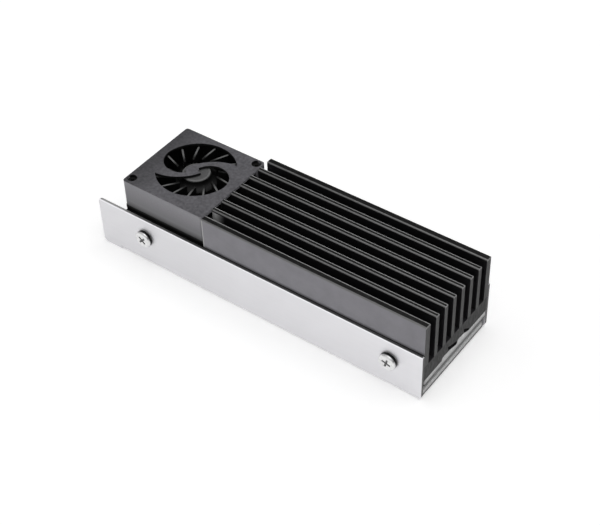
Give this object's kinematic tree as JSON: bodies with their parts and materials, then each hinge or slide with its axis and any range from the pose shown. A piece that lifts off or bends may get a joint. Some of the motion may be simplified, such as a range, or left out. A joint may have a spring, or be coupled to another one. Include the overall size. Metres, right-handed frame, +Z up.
{
  "type": "solid state drive heat sink with blower",
  "caption": "Black finned heat sink with a small centrifugal blower let into one end, held in a folded sheet metal tray that clamps a flat drive between two thermal pads.",
  "frame": {"origin": "middle of the tray's footprint, on the underside of its floor", "axes": "+X along the fins away from the blower, +Y across towards the far wing, +Z up out of the tray"},
  "size_m": [0.077, 0.0252, 0.0187],
  "materials": {
    "sheet_aluminium": "satin",
    "screw_steel": "polished",
    "thermal_pad": "matte",
    "black_anodised": "satin",
    "fan_plastic": "satin",
    "fan_cover_black": "satin",
    "black_screw": "satin",
    "impeller_plastic": "satin",
    "yoke_steel": "satin",
    "magnet": "matte",
    "shaft_steel": "polished",
    "clip_plastic": "matte",
    "bearing_bronze": "satin",
    "core_steel": "satin",
    "copper_wire": "gloss",
    "circuit_board": "satin",
    "chip_plastic": "matte"
  },
  "bodies": {
    "cooler": {"tray": "sheet_aluminium", "tray_screws": "screw_steel", "lower_thermal_pad": "thermal_pad", "upper_thermal_pad": "thermal_pad", "heat_sink": "black_anodised", "fan_standoffs": "black_screw", "fan_housing": "fan_plastic", "fan_cover": "fan_cover_black", "fan_screws": "black_screw", "thrust_plate": "clip_plastic", "bearing_sleeve": "bearing_bronze", "stator_core": "core_steel", "stator_insulators": "clip_plastic", "stator_coils": "copper_wire", "fan_circuit_board": "circuit_board", "driver_chip": "chip_plastic"},
    "rotor": {"impeller": "impeller_plastic", "rotor_yoke": "yoke_steel", "rotor_magnet": "magnet", "rotor_shaft": "shaft_steel", "shaft_clip": "clip_plastic"}
  },
  "joints": [
    {"name": "impeller_spin", "type": "hinge", "parent": "cooler", "child": "rotor", "pos_m": [-0.02185, 0, 0.0155], "axis": [0, 0, 1], "continuous": true}
  ]
}
